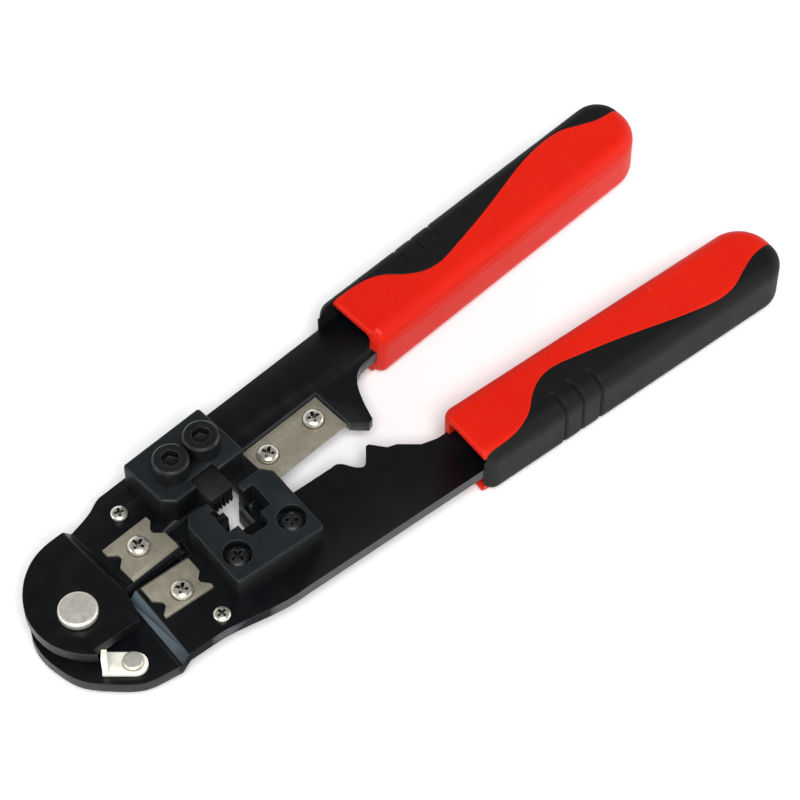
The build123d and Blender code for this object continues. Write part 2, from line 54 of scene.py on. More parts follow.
# ---------------------------------------------------------------- materials
class Nodes:
    """Short way to write a material's node tree."""

    def __init__(self, name):
        self.mat = bpy.data.materials.new(name)
        self.mat.use_nodes = True
        self.tree = self.mat.node_tree
        self.shader = self.tree.nodes["Principled BSDF"]
        self.coords = self.tree.nodes.new("ShaderNodeTexCoord").outputs["Object"]

    def link(self, source, target):
        self.tree.links.new(source, target)

    def add(self, kind, inputs=None, **settings):
        node = self.tree.nodes.new(kind)
        for key, value in settings.items():
            setattr(node, key, value)
        for key, value in (inputs or {}).items():
            if isinstance(value, bpy.types.NodeSocket):
                self.link(value, node.inputs[key])
            else:
                node.inputs[key].default_value = value
        return node

    def noise(self, per_mm, detail=3.0, roughness=0.5, stretch=None, distortion=0.0):
        vector = self.coords
        if stretch:
            mapping = self.add("ShaderNodeMapping", {"Vector": vector, "Scale": stretch})
            vector = mapping.outputs["Vector"]
        node = self.add("ShaderNodeTexNoise", {"Vector": vector, "Scale": per_mm * 1000, "Detail": detail,
                                               "Roughness": roughness, "Distortion": distortion})
        return node.outputs["Fac"]

    def ramp(self, value, low, high, to_low=0.0, to_high=1.0):
        node = self.add("ShaderNodeMapRange", {"Value": value, "From Min": low, "From Max": high,
                                               "To Min": to_low, "To Max": to_high})
        return node.outputs["Result"]

    def math(self, operation, a, b):
        return self.add("ShaderNodeMath", {0: a, 1: b}, operation=operation).outputs["Value"]

    def mix(self, factor, a, b):
        node = self.add("ShaderNodeMix", {"Factor": factor, "A": a, "B": b}, data_type="RGBA")
        return node.outputs["Result"]

    def edges(self, radius_mm, low=0.02, high=0.25):
        """1 along edges of the geometry, 0 on flat stretches."""
        bevel = self.add("ShaderNodeBevel", {"Radius": radius_mm * MM}, samples=6)
        normal = self.add("ShaderNodeNewGeometry").outputs["Normal"]
        dot = self.add("ShaderNodeVectorMath", {0: bevel.outputs["Normal"], 1: normal},
                       operation="DOT_PRODUCT")
        away = self.math("SUBTRACT", 1.0, dot.outputs["Value"])
        return self.ramp(away, low, high)

    def crevices(self, reach_mm, low=0.45, high=0.85):
        """1 in recesses and inner corners, 0 in the open."""
        node = self.add("ShaderNodeAmbientOcclusion", {"Distance": reach_mm * MM}, samples=8)
        return self.ramp(node.outputs["AO"], low, high, 1.0, 0.0)

    def place(self, axis):
        return self.add("ShaderNodeSeparateXYZ", {"Vector": self.coords}).outputs[axis]

    def slope(self):
        """1 on faces that lean towards the pivot's far side, as the fixed arm's offset bend does."""
        normal = self.add("ShaderNodeNewGeometry").outputs["Normal"]
        parts = self.add("ShaderNodeSeparateXYZ", {"Vector": normal}).outputs
        lean = self.ramp(parts["X"], -0.75, -0.35, 1.0, 0.0)
        return self.math("MULTIPLY", lean, self.ramp(parts["Z"], 0.3, 0.5))

    def upright(self):
        """1 on vertical faces, 0 on level ones."""
        normal = self.add("ShaderNodeNewGeometry").outputs["Normal"]
        z = self.add("ShaderNodeSeparateXYZ", {"Vector": normal}).outputs["Z"]
        return self.ramp(self.math("ABSOLUTE", z, 0.0), 0.35, 0.75, 1.0, 0.0)

    def bumps(self, *layers):
        """Layers of (height, depth in mm, strength)."""
        normal = None
        for height, depth, strength in layers:
            inputs = {"Height": height, "Distance": depth * MM, "Strength": strength}
            if normal:
                inputs["Normal"] = normal
            normal = self.add("ShaderNodeBump", inputs).outputs["Normal"]
        self.link(normal, self.shader.inputs["Normal"])

    def finish(self, colour, roughness, **constants):
        self.link(colour, self.shader.inputs["Base Color"])
        self.link(roughness, self.shader.inputs["Roughness"])
        for key, value in constants.items():
            self.shader.inputs[key.replace("_", " ")].default_value = value
        return self.mat


def rgb(r, g, b):
    """sRGB 0..255 to a linear colour."""
    linear = [(c / 255 / 12.92) if c / 255 <= 0.04045 else ((c / 255 + 0.055) / 1.055) ** 2.4
              for c in (r, g, b)]
    return (*linear, 1.0)


def painted(name, dark, light, edge, grain_per_mm, roughness, bump, wear_and_highlight, side, specular,
            shade_and_soot, shade_and_soot_reach=6.0, side_from=None, bend=None):
    """Coated steel: mottled colour, fine grain, and lighter edges, partly a thinner coat there and partly a
    painted highlight. Upright faces take the side colour, painted light, from side_from (mm) on if given;
    recesses go to near-black painted shade; a slope may have its own colour, a painted highlight."""
    m = Nodes(name)
    blotch = m.ramp(m.noise(0.09, 4, 0.6), 0.35, 0.65)
    speckle = m.ramp(m.noise(grain_per_mm * 0.7, 3, 0.6), 0.3, 0.7)
    base = m.mix(m.math("MULTIPLY", m.math("ADD", blotch, speckle), 0.5), dark, light)
    # upright faces take the side colour: painted light, lighter as a painted reflection on the arms, darker
    # as painted shade on the die blocks
    streaks = m.ramp(m.noise(0.5, 4, 0.6, (1.0, 1.0, 4.0)), 0.3, 0.7, 0.55, 1.0)
    mask = m.math("MULTIPLY", m.upright(), streaks)
    if side_from:
        mask = m.math("MULTIPLY", mask, m.ramp(m.place("X"), side_from[0] * MM, side_from[1] * MM))
    base = m.mix(mask, base, side)
    # faces leaning like the fixed arm's offset bend take the bend colour, in patches: a painted highlight
    if bend:
        lit_bend_patches = m.ramp(m.noise(0.4, 4, 0.6), 0.25, 0.7, 0.7, 1.0)
        base = m.mix(m.math("MULTIPLY", m.slope(), lit_bend_patches), base, bend)
    # recesses and inner corners darken towards the soot colour: painted shade
    base = m.mix(m.crevices(shade_and_soot_reach, 0.12, 0.55), base, shade_and_soot)
    # edges go towards the edge colour: partly real wear of the coat, partly a painted highlight
    lighter_edges = m.math("MULTIPLY", m.edges(0.35), m.ramp(m.noise(0.6, 5, 0.7), 0.38, 0.62, 0.15, wear_and_highlight))
    colour = m.mix(lighter_edges, base, edge)
    scratches = m.ramp(m.noise(0.5, 6, 0.65, (0.25, 3.0, 1.0)), 0.55, 0.75)
    rough = m.ramp(m.noise(0.25, 4, 0.6), 0.3, 0.7, roughness - 0.07, roughness + 0.07)
    rough = m.math("SUBTRACT", rough, m.math("MULTIPLY", scratches, 0.05))
    m.bumps((m.noise(grain_per_mm, 3, 0.55), 0.03, bump), (scratches, 0.004, 0.15))
    return m.finish(colour, rough, Metallic=0.0, Specular_IOR_Level=specular)


def metal(name, dark, light, roughness, lines, lines_per_mm, bump, metallic=1.0,
          grime=None, shade_and_soot=None, shade_and_soot_reach=0.9):
    """Bare or plated metal: brushed or rolled lines, cloudy tarnish, dirt away from the edges, and recesses
    darkened, painted shade with some dirt.
    """
    m = Nodes(name)
    strokes = m.noise(lines_per_mm, 4, 0.6, lines)
    clouds = m.ramp(m.noise(0.35, 4, 0.6), 0.3, 0.7)
    colour = m.mix(m.math("MULTIPLY", m.math("ADD", m.ramp(strokes, 0.3, 0.7), clouds), 0.5), dark, light)
    if grime:
        colour = m.mix(m.ramp(m.noise(1.3, 5, 0.7), 0.56, 0.74, 0.0, 0.5), colour, grime)
    # recesses darken towards the soot colour: painted shade with some brown dirt in it
    if shade_and_soot:
        colour = m.mix(m.crevices(shade_and_soot_reach), colour, shade_and_soot)
    rough = m.math("ADD", m.ramp(strokes, 0.25, 0.75, roughness - 0.08, roughness + 0.08),
                   m.math("MULTIPLY", clouds, 0.05))
    m.bumps((strokes, 0.01, bump), (m.noise(6.0, 2, 0.5), 0.005, 0.15))
    return m.finish(colour, rough, Metallic=metallic)


def moulded(name, dark, light, edge, roughness, grain_per_mm, grain_depth, side, specular, scuff=None):
    """Moulded plastic or rubber: spark-eroded grain, gentle sink marks, polished or scuffed edges, and
    upright faces in the side colour, a painted highlight.
    """
    m = Nodes(name)
    cloud = m.ramp(m.noise(0.05, 3, 0.5), 0.3, 0.7)
    fleck = m.ramp(m.noise(grain_per_mm * 0.5, 3, 0.6), 0.3, 0.7)
    tone = m.math("ADD", m.math("MULTIPLY", cloud, 0.65), m.math("MULTIPLY", fleck, 0.35))
    # upright faces take the side colour: a painted highlight on the grips' sides
    colour = m.mix(m.upright(), m.mix(tone, dark, light), side)
    lighter_edges = m.math("MULTIPLY", m.edges(0.5), m.ramp(m.noise(0.4, 4, 0.6), 0.3, 0.7, 0.1, 0.5))
    colour = m.mix(lighter_edges, colour, edge)
    if scuff:
        marks = m.ramp(m.noise(0.8, 6, 0.75, (1.0, 0.5, 1.0), 0.6), 0.63, 0.74)
        patches = m.ramp(m.noise(0.06, 2, 0.5), 0.52, 0.66)
        colour = m.mix(m.math("MULTIPLY", marks, m.math("MULTIPLY", patches, 0.55)), colour, scuff)
    rough = m.ramp(m.noise(0.15, 4, 0.6), 0.3, 0.7, roughness - 0.05, roughness + 0.06)
    m.bumps((m.noise(grain_per_mm, 2, 0.5), grain_depth, 0.35), (m.noise(0.06, 2, 0.4), 0.25, 0.12))
    return m.finish(colour, rough, Specular_IOR_Level=specular)


MATERIALS = {
    # arm_paint: side is a painted reflection on the arms' cut edges, edge a painted highlight with some
    # wear, bend a painted highlight on the offset bend, soot painted shade
    "arm_paint": painted(
        "arm_paint", rgb(3, 4, 6), rgb(8, 10, 14), edge=rgb(72, 76, 80), grain_per_mm=2.2, roughness=0.38,
        bump=0.14, wear_and_highlight=0.5, side=rgb(56, 58, 62), specular=0.28, shade_and_soot=rgb(1, 1, 2), shade_and_soot_reach=4.0,
        side_from=(11.5, 14), bend=rgb(100, 113, 122)),
    # die_steel: side is painted shade on upright faces, edge a painted highlight with some wear, soot
    # painted shade in recesses and the die's window
    "die_steel": painted(
        "die_steel", rgb(11, 16, 18), rgb(20, 27, 30), edge=rgb(112, 117, 120), grain_per_mm=1.6,
        roughness=0.5, bump=0.24, wear_and_highlight=0.9, side=rgb(7, 10, 12), specular=0.32, shade_and_soot=rgb(1, 1, 2)),
    # bare metals from tool_steel to latch_zinc: the soot colour darkens recesses, painted shade with some
    # dirt
    "tool_steel": metal(
        "tool_steel", rgb(26, 24, 22), rgb(42, 40, 36), roughness=0.5, lines=(1, 6, 6), lines_per_mm=1.0,
        bump=0.2, metallic=0.5, shade_and_soot=rgb(14, 9, 5)),
    "blade_steel": metal(
        "blade_steel", rgb(126, 121, 105), rgb(152, 148, 133), roughness=0.46, lines=(7, 0.4, 4),
        lines_per_mm=0.7, bump=0.10, metallic=0.3, grime=rgb(124, 116, 97), shade_and_soot=rgb(60, 54, 44),
        shade_and_soot_reach=0.5),
    "screw_steel": metal(
        "screw_steel", rgb(220, 216, 200), rgb(250, 248, 238), roughness=0.22, lines=(1, 1, 1),
        lines_per_mm=1.0, bump=0.05, metallic=0.85, grime=rgb(186, 172, 138), shade_and_soot=rgb(30, 22, 11)),
    # black_oxide_steel: side is painted light on upright faces, edge a painted highlight with some wear,
    # soot painted shade in the hex sockets
    "black_oxide_steel": painted(
        "black_oxide_steel", rgb(8, 9, 11), rgb(20, 21, 23), edge=rgb(104, 105, 108), grain_per_mm=1.2,
        roughness=0.42, bump=0.2, wear_and_highlight=0.9, side=rgb(16, 17, 18), specular=0.35, shade_and_soot=rgb(2, 2, 3)),
    "rivet_nickel": metal(
        "rivet_nickel", rgb(216, 211, 197), rgb(240, 237, 228), roughness=0.34, lines=(1, 1, 1),
        lines_per_mm=0.9, bump=0.08, metallic=0.7, shade_and_soot=rgb(96, 88, 66)),
    "spring_steel": metal(
        "spring_steel", rgb(120, 120, 118), rgb(160, 160, 156), roughness=0.35, lines=(1, 1, 4),
        lines_per_mm=1.2, bump=0.1),
    "latch_zinc": metal(
        "latch_zinc", rgb(240, 237, 222), rgb(253, 252, 242), roughness=0.34, lines=(0.6, 3, 1),
        lines_per_mm=1.0, bump=0.10, metallic=0.15, grime=rgb(196, 186, 158), shade_and_soot=rgb(96, 86, 62),
        shade_and_soot_reach=0.6),
    # grip colours: side is a painted highlight on the grips' upright faces
    "grip_red": moulded(
        "grip_red", rgb(198, 22, 5), rgb(208, 29, 9), edge=rgb(226, 72, 54), roughness=0.45,
        grain_per_mm=2.4, grain_depth=0.010, side=rgb(204, 34, 18), specular=0.15,
        scuff=rgb(230, 140, 130)),
    "grip_black": moulded(
        "grip_black", rgb(4, 5, 4), rgb(9, 10, 8), edge=rgb(40, 39, 36), roughness=0.62,
        grain_per_mm=1.9, grain_depth=0.030, side=rgb(22, 22, 19), specular=0.20),
}


def paint(obj, slot):
    obj.data.materials.clear()
    obj.data.materials.append(MATERIALS[slot])
    return obj


# ---------------------------------------------------------------- mesh helpers
def new_piece(name, bm, body, slot, replaced=(), smooth_deg=40):
    mesh = bpy.data.meshes.new(name)
    bm.normal_update()
    bm.to_mesh(mesh)
    bm.free()
    mesh.shade_smooth()
    mesh.set_sharp_from_angle(angle=radians(smooth_deg))
    obj = bpy.data.objects.new(name, mesh)
    bpy.context.scene.collection.objects.link(obj)
    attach(obj, body)
    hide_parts(*replaced)
    return paint(obj, slot)


def edge_middle(edge):
    return (edge.verts[0].co + edge.verts[1].co) / (2 * MM)


FLAT = radians(0.4)             # neighbouring faces this close in direction become one
CREASE = radians(28)            # edges sharper than this are rounded


def refined(name, node, body, slot, rounds, smooth_deg=35):
    """The node's solid with merged flat faces and rounded edges. rounds lists (width mm, segments, test of
    an edge's middle in mm); the first test an edge passes gives its rounding."""
    bm = bmesh.new()
    bm.from_mesh(NODES[node].data)
    bmesh.ops.remove_doubles(bm, verts=bm.verts, dist=WELD * MM)
    bmesh.ops.dissolve_limit(bm, angle_limit=FLAT, verts=bm.verts, edges=bm.edges)
    groups = [[] for _ in rounds]
    for edge in bm.edges:
        if len(edge.link_faces) == 2 and edge.calc_face_angle(0.0) > CREASE:
            middle = edge_middle(edge)
            for group, (_, _, test) in zip(groups, rounds):
                if test(middle):
                    group.append(edge)
                    break
    for group, (width, segments, _) in zip(groups, rounds):
        edges = [e for e in group if e.is_valid]
        if edges:
            bmesh.ops.bevel(bm, geom=edges, offset=width * MM, segments=segments, profile=0.5,
                            affect="EDGES", clamp_overlap=True, miter_outer="ARC")
    return new_piece(name, bm, body, slot, [node], smooth_deg)


def everywhere(middle):
    return True


# ---------------------------------------------------------------- camera, light, floor
def aim(obj, target):
    direction = Vector(target) - obj.location
    obj.rotation_euler = direction.to_track_quat("-Z", "Y").to_euler()


CAMERA_AT = (-0.1693, -0.3303, 0.6363)
CAMERA_TO = (0.0892, 0.0, 0.0145)
LENS = 148.5                    # on a sensor 36 mm wide
SUN_STRENGTH = 3.3
SUN_ANGLE = radians(32)
SUN_AT = (-0.5, -0.8, 1.6)
SIDE_LIGHTS = (("right", (0.95, -0.60, 0.35), 2.0),     # name, place and power
               ("left", (-0.85, 0.30, 0.35), 1.5))
SIDE_LIGHT_SIZE = 0.5
SIDE_LIGHTS_TO = (0.08, 0.0, 0.0)
SKY_HEIGHTS = (0.25, 0.62)      # sine of the heights between which the sky's light falls
SKY_STRENGTHS = (1.00, 0.16)    # at the horizon and overhead
FLOOR_DROP = 0.0002             # the floor lies just under the part


def add_camera():
    camera = bpy.data.objects.new("camera", bpy.data.cameras.new("camera"))
    camera.data.lens = LENS
    camera.data.sensor_width = 36.0
    camera.data.clip_end = 20.0
    camera.location = CAMERA_AT
    aim(camera, CAMERA_TO)
    bpy.context.scene.collection.objects.link(camera)
    bpy.context.scene.camera = camera


def add_lights():
    sun = bpy.data.objects.new("sun", bpy.data.lights.new("sun", "SUN"))
    sun.data.energy = SUN_STRENGTH
    sun.data.angle = SUN_ANGLE
    sun.location = SUN_AT
    aim(sun, (0.0, 0.0, 0.0))
    bpy.context.scene.collection.objects.link(sun)
    for name, place, power in SIDE_LIGHTS:
        light = bpy.data.objects.new(name, bpy.data.lights.new(name, "AREA"))
        light.data.shape = "DISK"
        light.data.size = SIDE_LIGHT_SIZE
        light.data.energy = power
        light.location = place
        aim(light, SIDE_LIGHTS_TO)
        bpy.context.scene.collection.objects.link(light)


def add_sky():
    world = bpy.data.worlds.new("studio")
    world.use_nodes = True
    tree = world.node_tree
    direction = tree.nodes.new("ShaderNodeTexCoord").outputs["Generated"]
    height = tree.nodes.new("ShaderNodeSeparateXYZ")
    tree.links.new(direction, height.inputs["Vector"])
    fall = tree.nodes.new("ShaderNodeMapRange")
    for key, value in zip(("From Min", "From Max", "To Min", "To Max"), SKY_HEIGHTS + SKY_STRENGTHS):
        fall.inputs[key].default_value = value
    fall.interpolation_type = "SMOOTHSTEP"
    tree.links.new(height.outputs["Z"], fall.inputs["Value"])
    background = tree.nodes["Background"]
    background.inputs["Color"].default_value = (1.0, 1.0, 1.0, 1.0)
    tree.links.new(fall.outputs["Result"], background.inputs["Strength"])
    bpy.context.scene.world = world
    bpy.context.scene.view_settings.view_transform = "Standard"


def add_floor():
    bm = bmesh.new()
    bmesh.ops.create_grid(bm, x_segments=4, y_segments=4, size=3.0)
    mesh = bpy.data.meshes.new("floor")
    bm.to_mesh(mesh)
    bm.free()
    floor = bpy.data.objects.new("floor", mesh)
    floor.location = (0, 0, -FLOOR_DROP)
    bpy.context.scene.collection.objects.link(floor)
    m = Nodes("floor")
    tone = m.mix(m.ramp(m.noise(0.01, 3, 0.5), 0.3, 0.7), (0.90, 0.90, 0.90, 1), (0.93, 0.93, 0.93, 1))
    floor.data.materials.append(m.finish(tone, m.ramp(m.noise(0.05, 3, 0.5), 0.3, 0.7, 0.6, 0.7)))


# ---------------------------------------------------------------- grips
def smooth_line(knots):
    """Catmull-Rom curve through (x, y) knots, as a function of x."""
    def at(x):
        if x <= knots[0][0]:
            return knots[0][1]
        if x >= knots[-1][0]:
            return knots[-1][1]
        i = max(k for k in range(len(knots) - 1) if knots[k][0] <= x)
        x0, y0 = knots[i]
        x1, y1 = knots[i + 1]
        before = knots[i - 1] if i else (2 * x0 - x1, 2 * y0 - y1)
        after = knots[i + 2] if i + 2 < len(knots) else (2 * x1 - x0, 2 * y1 - y0)
        step = x1 - x0
        m0 = (y1 - before[1]) / (x1 - before[0]) * step
        m1 = (after[1] - y0) / (after[0] - x0) * step
        t = (x - x0) / step
        return ((2 * t**3 - 3 * t**2 + 1) * y0 + (t**3 - 2 * t**2 + t) * m0
                + (3 * t**2 - 2 * t**3) * y1 + (t**3 - t**2) * m1)
    return at


# Distances v are measured from the line midway between the closed arms.
PARTING = smooth_line([
    (88.0, 22.7), (94.0, 22.9), (100.0, 22.8), (105.0, 22.2), (109.5, 20.2), (113.5, 16.7), (117.3, 14.5),
    (122.0, 13.8), (129.5, 15.1), (138.0, 16.9), (147.0, 19.2), (156.0, 21.5), (164.0, 22.7),
    (169.6, 22.2), (174.0, 20.2), (179.5, 18.1), (190.0, 17.5)])
GRIP_LOW, GRIP_HIGH = (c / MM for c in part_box("grip_shell_fixed"))
GRIP_FRONT = GRIP_LOW.x
GRIP_END = GRIP_HIGH.x
GRIP_H = GRIP_HIGH.z
GRIP_OUT = MIRROR_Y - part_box("grip_sleeve_fixed")[0].y / MM
GRIP_IN_FRONT = MIRROR_Y - GRIP_HIGH.y
GRIP_IN_END = GRIP_IN_FRONT + 0.8       # the grips taper a little towards the end
ROUND = 3.8                     # rounding of the long edges
INNER_END_R = 9.0               # roundings in the plan, at the ends and at the fronts
OUTER_END_R = 7.0
INNER_FRONT_R = 3.2
NOSE_R = 4.0
MOUTH_END = 108.0               # depth of the open mouth
MOUTH_IN = 10.4                 # the inner wall is thick enough for its rounded front corner
MOUTH_CORNER_R = 1.6
MOUTH_STEPS = 4                 # steps along each side and round each corner of the mouth
MOUTH_POINTS = 5 * MOUTH_STEPS + 1      # corners that those steps make
WALL = 2.6
MOUTH_LIP = 1.0                 # rounding of the mouth's rim; with SHELL_FRONT_R it stays under WALL
NOSE_FRONT = 91.4               # the black sleeve reaches a little ahead of the red shell
STEPS_ROUND = 12
TOP_STEPS = 18                  # steps across the shell's top, closer together near the dividing line
TOP_SPACING = 1.7
SLEEVE_TOP_STEPS = 16
SLEEVE_SIDE_STEPS = 14
SLEEVE_WALL_STEPS = 8
FRONT_STRETCH_END = 104.0       # the two grips' fronts differ a little, up to here
FRONT_SHIFTS = (("fixed", False, 0.6, 3.0),     # how far the red and the black are drawn back
                ("moving", True, 2.4, 0.0))
SHELL_FRONT_R = 1.2
NOSE_TOP_R = 2.2
PARTING_LIP = 0.28              # small rounding of both shells along the dividing line
CREASE_DEPTH = 0.10             # moulding line along the shell's inner side
CREASE_HALF = 0.25
CREASE_DROP = 0.3               # below the rounding
CREASE_FADE = 8.0               # it runs out over this length, ending CREASE_STOP before the end
CREASE_STOP = 6.0
BELOW_CREASE = (0.85, 0.7, 0.55, 0.4, 0.2)      # points below it, as shares of the height left
LEAST = 0.01                    # smallest inset that keeps a ring's corners apart
HALVINGS = 18                   # in the search for an inset


def corner_drop(x, end, radius, inset):
    """How far the plan's outline is drawn in beside its rounded corner, at an inset from the outline."""
    into = x - (end - radius)
    if into <= 0:
        return inset
    reach = max(radius - inset, 0.0)
    return radius - sqrt(max(reach**2 - into**2, 0.0))


def front_drop(x, front, radius, inset):
    into = front + radius - x
    if into <= 0:
        return inset
    reach = max(radius - inset, 0.0)
    return radius - sqrt(max(reach**2 - min(into, reach)**2, 0.0))


def front_loss(x, front, radius):
    """How much lower the top is near a rounded front."""
    return radius - sqrt(max(radius**2 - max(radius - (x - front), 0.0)**2, 0.0))


def deepest_inset(x):
    """The rounding's full width, less where the grip itself ends."""
    return max(LEAST, min(ROUND, GRIP_END - x))


def drop_at(inset):
    return ROUND - sqrt(max(ROUND**2 - (ROUND - min(inset, ROUND))**2, 0.0))


def side_section(x, limit, deepest, loss):
    """(v, z) points from the top face over one long side to the bottom face. limit(x, inset) is the v of
    that side. Returns the upper and the lower rounding."""
    last = acos(1 - deepest / ROUND)
    top = []
    for j in range(STEPS_ROUND + 1):
        inset = ROUND * (1 - cos(last * (1 - j / STEPS_ROUND)))
        top.append((limit(x, inset), GRIP_H - max(drop_at(inset), loss)))
    return top, [(v, GRIP_H - z) for v, z in reversed(top)]


def outer_inset(x, v):
    """How far inside the outer side's outline a point lies, up to the rounding's radius."""
    low, high = 0.0, deepest_inset(x)
    if outer_limit(x, high) >= v:
        return high
    for _ in range(HALVINGS):
        middle = (low + high) / 2
        if outer_limit(x, middle) > v:
            low = middle
        else:
            high = middle
    return low


def inner_limit(x, inset):
    along = (x - GRIP_FRONT) / (GRIP_END - GRIP_FRONT)
    base = GRIP_IN_FRONT + (GRIP_IN_END - GRIP_IN_FRONT) * along
    return base + max(corner_drop(x, GRIP_END, INNER_END_R, inset),
                      front_drop(x, GRIP_FRONT, INNER_FRONT_R, inset))


def outer_limit(x, inset):
    return GRIP_OUT - max(corner_drop(x, GRIP_END, OUTER_END_R, inset),
                          front_drop(x, NOSE_FRONT, NOSE_R, inset))


def spread(a, b, count):
    return [a + (b - a) * i / count for i in range(count + 1)]


def shell_section(x):
    """Outside of the red shell, from the upper parting edge round the inner side to the lower one, and
    those two edges, lower first."""
    b = PARTING(x)
    loss = front_loss(x, GRIP_FRONT, SHELL_FRONT_R)
    top, bottom = side_section(x, inner_limit, deepest_inset(x), loss)
    lip = PARTING_LIP

    def roof(v):
        return GRIP_H - max(drop_at(outer_inset(x, v)), loss)
    z_top = roof(b - lip)
    edge = roof(b)
    width = b - lip - top[0][0]
    across = [b - lip - width * (k / TOP_STEPS)**TOP_SPACING for k in range(1, TOP_STEPS)]
    loop = [(b, edge - lip), (b - lip * 0.3, edge - lip * 0.3), (b - lip, z_top)]
    loop += [(v, min(roof(v), GRIP_H - loss)) for v in across]
    loop += top
    side = top[-1][0]
    high, low = top[-1][1], bottom[0][1]
    crease = CREASE_DEPTH * min(1.0, max(0.0, (GRIP_END - CREASE_STOP - x) / CREASE_FADE))
    line = high - CREASE_DROP
    loop += [(side, line + CREASE_HALF), (side + crease, line), (side, line - CREASE_HALF)]
    loop += [(side, low + (line - CREASE_HALF - low) * t) for t in BELOW_CREASE]
    loop += bottom
    loop += [(v, GRIP_H - min(roof(v), GRIP_H - loss)) for v in reversed(across)]
    loop += [(b - lip, GRIP_H - z_top), (b - lip * 0.3, GRIP_H - edge + lip * 0.3),
             (b, GRIP_H - edge + lip)]
    return loop, (b, GRIP_H - edge + lip), (b, edge - lip)


def mouth_path(x, open_mouth, low, high):
    """Inside of the shell from its lower to its upper parting edge: the mouth's wall, or a closed wall
    with as many points behind it."""
    b = low[0]
    if not open_mouth:
        return [(b, z) for z in spread(low[1], high[1], MOUTH_POINTS + 1)[1:-1]]
    flare = front_loss(x, GRIP_FRONT, MOUTH_LIP)
    floor, roof = WALL - flare, GRIP_H - WALL + flare
    corner_v = MOUTH_IN + MOUTH_CORNER_R
    turns = [pi / 2 * i / MOUTH_STEPS for i in range(1, MOUTH_STEPS + 1)]
    lower = [(v, floor) for v in spread(b, corner_v, MOUTH_STEPS)[1:]]
    lower += [(corner_v - MOUTH_CORNER_R * sin(t), floor + MOUTH_CORNER_R * (1 - cos(t))) for t in turns]
    rise = spread(floor + MOUTH_CORNER_R, roof - MOUTH_CORNER_R, MOUTH_STEPS)[1:-1]
    upper = [(v, GRIP_H - z) for v, z in reversed(lower)]
    return [(b, floor)] + lower + [(MOUTH_IN, z) for z in rise] + upper + [(b, roof)]


def sleeve_section(x):
    """Outside of the black sleeve from its upper parting edge round the outer side to the lower one, and
    the wall between those edges."""
    b = PARTING(x)
    lip = min(PARTING_LIP, max(GRIP_OUT - b, 0.3) * 0.4)
    loss = front_loss(x, NOSE_FRONT, NOSE_TOP_R)
    start = min(outer_inset(x, b + lip), max(LEAST, GRIP_END - x))
    top, bottom = side_section(x, outer_limit, max(start, 0.02), loss)
    z_top = GRIP_H - max(drop_at(start), loss)
    edge = GRIP_H - max(drop_at(outer_inset(x, b)), loss)
    loop = [(b, edge - lip), (b + lip * 0.3, edge - lip * 0.3), (b + lip, z_top)]
    loop += [(v, z_top) for v in spread(b + lip, max(top[0][0], b + lip), SLEEVE_TOP_STEPS)[1:-1]]
    loop += [(max(v, b + lip), z) for v, z in top]
    side = max(top[-1][0], b + lip)
    loop += [(side, z) for z in spread(top[-1][1], bottom[0][1], SLEEVE_SIDE_STEPS)[1:-1]]
    loop += [(max(v, b + lip), z) for v, z in bottom]
    inner = max(bottom[-1][0], b + lip)
    loop += [(v, GRIP_H - z_top) for v in spread(inner, b + lip, SLEEVE_TOP_STEPS)[1:-1]]
    loop += [(b + lip, GRIP_H - z_top), (b + lip * 0.3, GRIP_H - edge + lip * 0.3),
             (b, GRIP_H - edge + lip)]
    wall = [(b, z) for z in spread(GRIP_H - edge + lip, edge - lip, SLEEVE_WALL_STEPS)[1:-1]]
    return loop, wall


GROOVES = ((117.0, 0.0), (122.1, 0.3), (127.6, 0.0))    # x on the side, and how much further it runs
GROOVE_HALF = 0.5
GROOVE_DEPTH = 0.75
GROOVE_REACH = 6.4              # how far in from the side a groove runs on the top face
GROOVE_RUN_OUT = 1.5
GROOVE_SLANT = 0.18             # x lost per mm towards the parting line, on the top face
GROOVE_REACH_BELOW = 6.0        # the same on the bottom face
GROOVE_RUN_OUT_BELOW = 3.0
GROOVE_WIDEST = 2.2             # in half widths, where the groove's soft shoulder ends
CARVE_DEPTH = (6.0, 5.0)        # a groove in the rounding points this far in from the side and the faces


def groove_depth(x, v, z):
    """Depth of the three finger grooves at a point of the sleeve's surface."""
    across = GRIP_OUT - v           # 0 at the side face
    depth = 0.0
    for side_x, further in GROOVES:
        line, fade = side_x, 1.0
        if GRIP_H - z < ROUND and across > 0.0:
            line -= GROOVE_SLANT * max(across - ROUND, 0.0)
            fade = min(1.0, max(0.0, (GROOVE_REACH + further - across) / GROOVE_RUN_OUT))
        elif z < ROUND and across > ROUND * 0.9:
            fade = min(1.0, max(0.0, (GROOVE_REACH_BELOW - across) / GROOVE_RUN_OUT_BELOW))
        off = abs(x - line) / GROOVE_HALF
        if off < GROOVE_WIDEST:
            profile = 0.75 * max(0.0, 1 - off) + 0.25 * exp(-off**2)
            depth = max(depth, GROOVE_DEPTH * fade * profile)
    return depth


def carved(x, v, z):
    """The point, drawn into the sleeve by the groove it lies in."""
    depth = groove_depth(x, v, z)
    if not depth:
        return v, z
    if abs(v - GRIP_OUT) < LEAST:
        inward = Vector((-1.0, 0.0))
    elif v < GRIP_OUT - ROUND:
        inward = Vector((0.0, -1.0 if z > GRIP_H / 2 else 1.0))
    else:
        from_side, from_face = CARVE_DEPTH
        inward = Vector((GRIP_OUT - from_side - v, min(max(z, from_face), GRIP_H - from_face) - z))
    inward.normalize()
    return v + inward.x * depth, z + inward.y * depth


CLOSE_STEP = 0.2                # between sections, mm
MIDDLE_STEP = 0.4
WIDE_STEP = 0.9
CLOSE_SPAN = (104.0, 134.0)     # stretch of the sleeve with close sections, for the grooves


def quarter(radius, steps):
    """Distances from radius down to 0, as on a quarter circle."""
    return [radius * cos(i * pi / 2 / steps) for i in range(steps + 1)]


